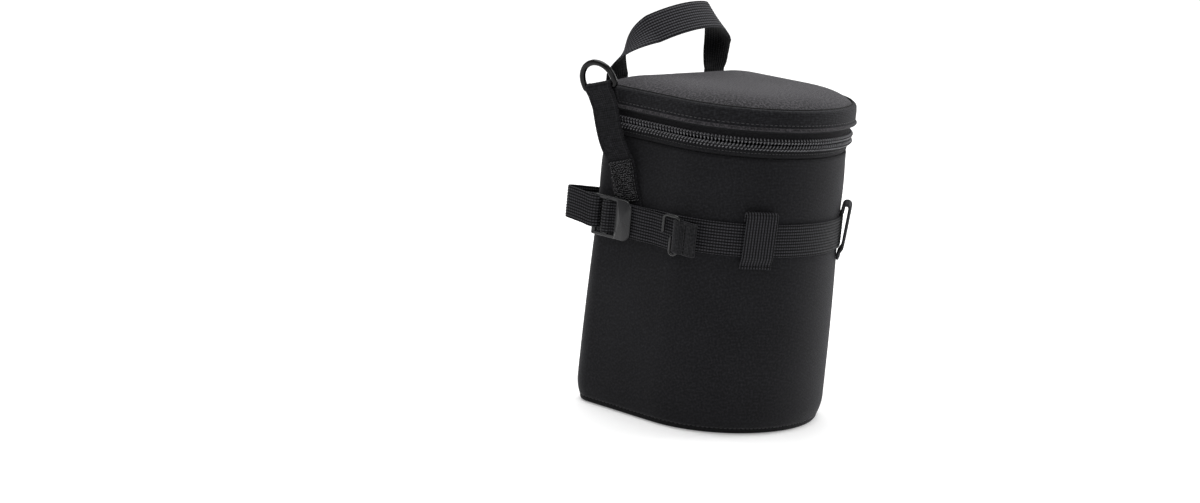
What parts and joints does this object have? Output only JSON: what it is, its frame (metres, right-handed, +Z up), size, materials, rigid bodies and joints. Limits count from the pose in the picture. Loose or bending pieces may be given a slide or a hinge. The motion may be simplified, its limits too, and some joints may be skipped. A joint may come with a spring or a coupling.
{
  "type": "lens pouch",
  "caption": "Padded fabric lens pouch with a zipped hinged lid, a folded webbing carry handle, a belt strap with a ladder-lock buckle, a belt loop and a D-ring tab.",
  "frame": {"origin": "middle of the base on the ground", "axes": "+Z up, -Y towards the rounded front, +Y towards the flat back, -X towards the buckle side"},
  "size_m": [0.1638, 0.1376, 0.2508],
  "materials": {
    "fabric": "matte black woven nylon",
    "foam": "closed-cell foam",
    "lining": "smooth lining cloth",
    "webbing": "ribbed black webbing",
    "tape": "black grosgrain and zip tape",
    "coil": "black nylon coil",
    "hook": "speckled hook tape",
    "plastic": "satin dark grey moulding",
    "black_metal": "gloss black wire and die-cast metal"
  },
  "bodies": {
    "pouch": {"outer_shell": "fabric", "wall_padding": "foam", "inner_lining": "lining", "base_panel": "fabric", "base_padding": "foam", "base_binding": "tape", "rim_binding": "tape", "zip_tape_lower": "tape", "zip_coil_lower": "coil", "hinge_strip_lower": "tape", "belt_strap": "webbing", "buckle": "plastic", "front_loop_left": "webbing", "front_loop_right": "webbing", "belt_loop": "webbing", "side_tab": "webbing", "hook_patch": "hook"},
    "lid": {"lid_band": "fabric", "lid_top": "fabric", "lid_padding": "foam", "lid_lining": "lining", "zip_tape_upper": "tape", "zip_coil_upper": "coil", "hinge_strip_upper": "tape", "handle_end_left": "webbing", "handle_end_right": "webbing"},
    "handle": {"handle": "webbing"},
    "d_ring": {"d_ring": "black_metal"},
    "zip_slider": {"zip_slider": "black_metal"},
    "zip_pull": {"zip_pull": "black_metal"},
    "keeper_clip": {"keeper_clip": "black_metal"}
  },
  "joints": [
    {"name": "lid_hinge", "type": "hinge", "parent": "pouch", "child": "lid", "pos_m": [0, 0.0681, 0.1784], "axis": [-1, 0, 0], "range_deg": [0, 110]},
    {"name": "handle_swing", "type": "hinge", "parent": "lid", "child": "handle", "pos_m": [0, 0.0693, 0.1999], "axis": [-1, 0, 0], "range_deg": [-30, 80]},
    {"name": "d_ring_swing", "type": "hinge", "parent": "pouch", "child": "d_ring", "pos_m": [-0.08044, 0.05396, 0.19853], "axis": [0.0049, -0.9548, 0.2973], "range_deg": [-45, 130]},
    {"name": "slider_travel", "type": "slide", "parent": "pouch", "child": "zip_slider", "axis": [0, -1, 0], "range_m": [0, 0.032]},
    {"name": "pull_swing", "type": "hinge", "parent": "zip_slider", "child": "zip_pull", "pos_m": [0.0745, 0.04, 0.1784], "axis": [0, -1, 0], "range_deg": [0, 150]},
    {"name": "clip_swing", "type": "hinge", "parent": "pouch", "child": "keeper_clip", "pos_m": [-0.07358, -0.011, 0.11843], "axis": [0, 0, 1], "range_deg": [0, 75]}
  ]
}
